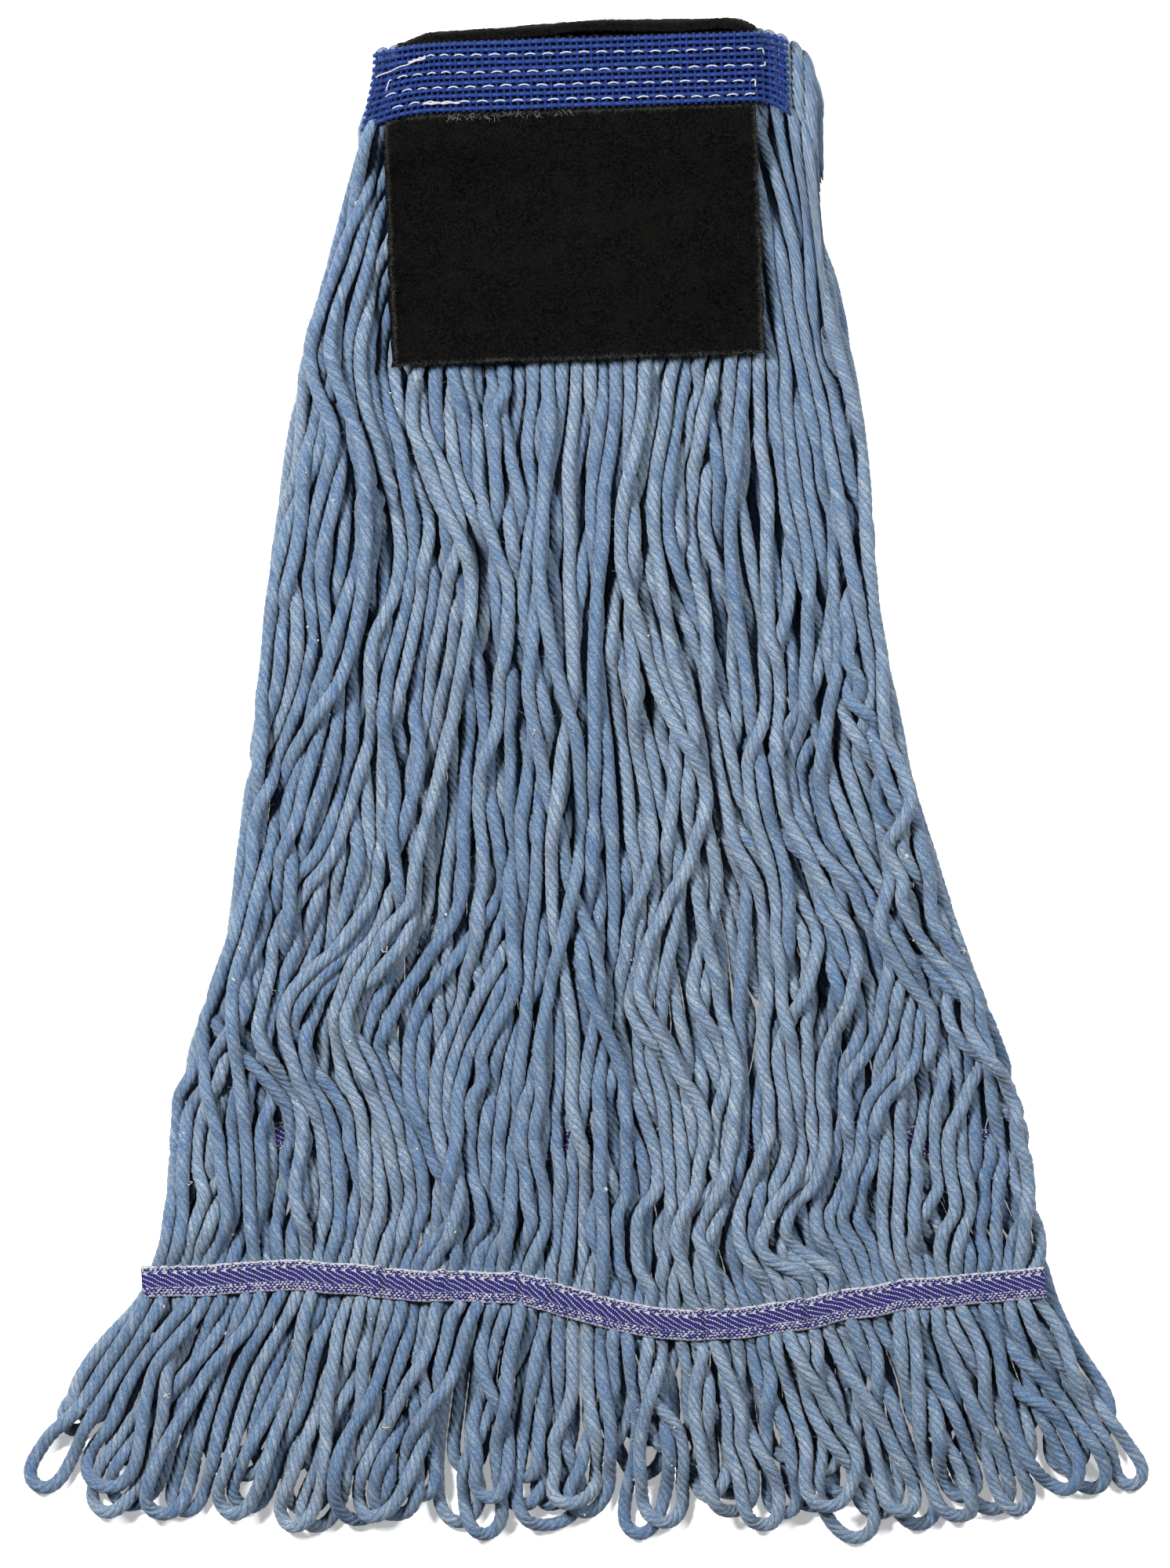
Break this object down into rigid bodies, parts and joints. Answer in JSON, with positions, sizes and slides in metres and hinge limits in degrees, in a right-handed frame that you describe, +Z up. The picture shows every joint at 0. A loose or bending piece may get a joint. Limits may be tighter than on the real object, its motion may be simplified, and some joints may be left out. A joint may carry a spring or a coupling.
{
  "type": "string mop",
  "caption": "Looped-end string mop head of twisted yarn, folded at a stitched mesh headband, with a black scrub pad and woven tail bands; lies flat.",
  "frame": {"origin": "on the floor under the middle of the head's bounding box, with the head lying flat and folded", "axes": "+Y from the looped ends to the headband, along the head's length; +Z up, through the folded layers; +X across the fan of yarn"},
  "size_m": [0.388, 0.5254, 0.0377],
  "materials": {
    "yarn": "matte, heathered plied and twisted yarn",
    "headband_tape": "woven mesh tape with a slight sheen",
    "scrub_pad": "matte non-woven abrasive",
    "thread": "twisted sewing thread",
    "tail_tape": "herringbone woven tape"
  },
  "bodies": {
    "back_half": {"back_tail_seam_thread": "thread", "back_tail_tape_lower": "tail_tape", "back_tail_tape_upper": "tail_tape", "back_yarn_lock_01": "yarn", "back_yarn_lock_02": "yarn", "back_yarn_lock_03": "yarn", "back_yarn_lock_04": "yarn", "back_yarn_lock_05": "yarn", "back_yarn_lock_06": "yarn", "back_yarn_lock_07": "yarn", "back_yarn_lock_08": "yarn", "back_yarn_lock_09": "yarn", "back_yarn_lock_10": "yarn", "back_yarn_lock_11": "yarn", "back_yarn_lock_12": "yarn", "fold_yarn_bend_1": "yarn", "fold_yarn_bend_2": "yarn", "fold_yarn_bend_3": "yarn", "fold_yarn_bend_4": "yarn", "scrub_pad_back_flap": "scrub_pad", "scrub_pad_fold": "scrub_pad"},
    "front_half": {"front_tail_seam_thread": "thread", "front_tail_tape_lower": "tail_tape", "front_tail_tape_upper": "tail_tape", "front_yarn_lock_01": "yarn", "front_yarn_lock_02": "yarn", "front_yarn_lock_03": "yarn", "front_yarn_lock_04": "yarn", "front_yarn_lock_05": "yarn", "front_yarn_lock_06": "yarn", "front_yarn_lock_07": "yarn", "front_yarn_lock_08": "yarn", "front_yarn_lock_09": "yarn", "front_yarn_lock_10": "yarn", "front_yarn_lock_11": "yarn", "front_yarn_lock_12": "yarn", "headband_backtack_end": "thread", "headband_backtack_start": "thread", "headband_bobbin_thread": "thread", "headband_inner_tape": "headband_tape", "headband_outer_tape": "headband_tape", "headband_seam_thread": "thread", "scrub_pad_core": "scrub_pad"},
    "front_pad_flap": {"scrub_pad_front_flap": "scrub_pad"}
  },
  "joints": [
    {"name": "head_fold", "type": "hinge", "parent": "back_half", "child": "front_half", "pos_m": [-0.00352, 0.25889, 0.0186], "axis": [-0.9994, -0.0349, 0], "range_deg": [0, 180], "deforming": ["fold_yarn_bend_1", "fold_yarn_bend_2", "fold_yarn_bend_3", "fold_yarn_bend_4", "scrub_pad_fold"]},
    {"name": "front_pad_lift", "type": "hinge", "parent": "front_half", "child": "front_pad_flap", "pos_m": [-0.00256, 0.23121, 0.0375], "axis": [0.9994, 0.0349, 0], "range_deg": [-110, 0]}
  ]
}
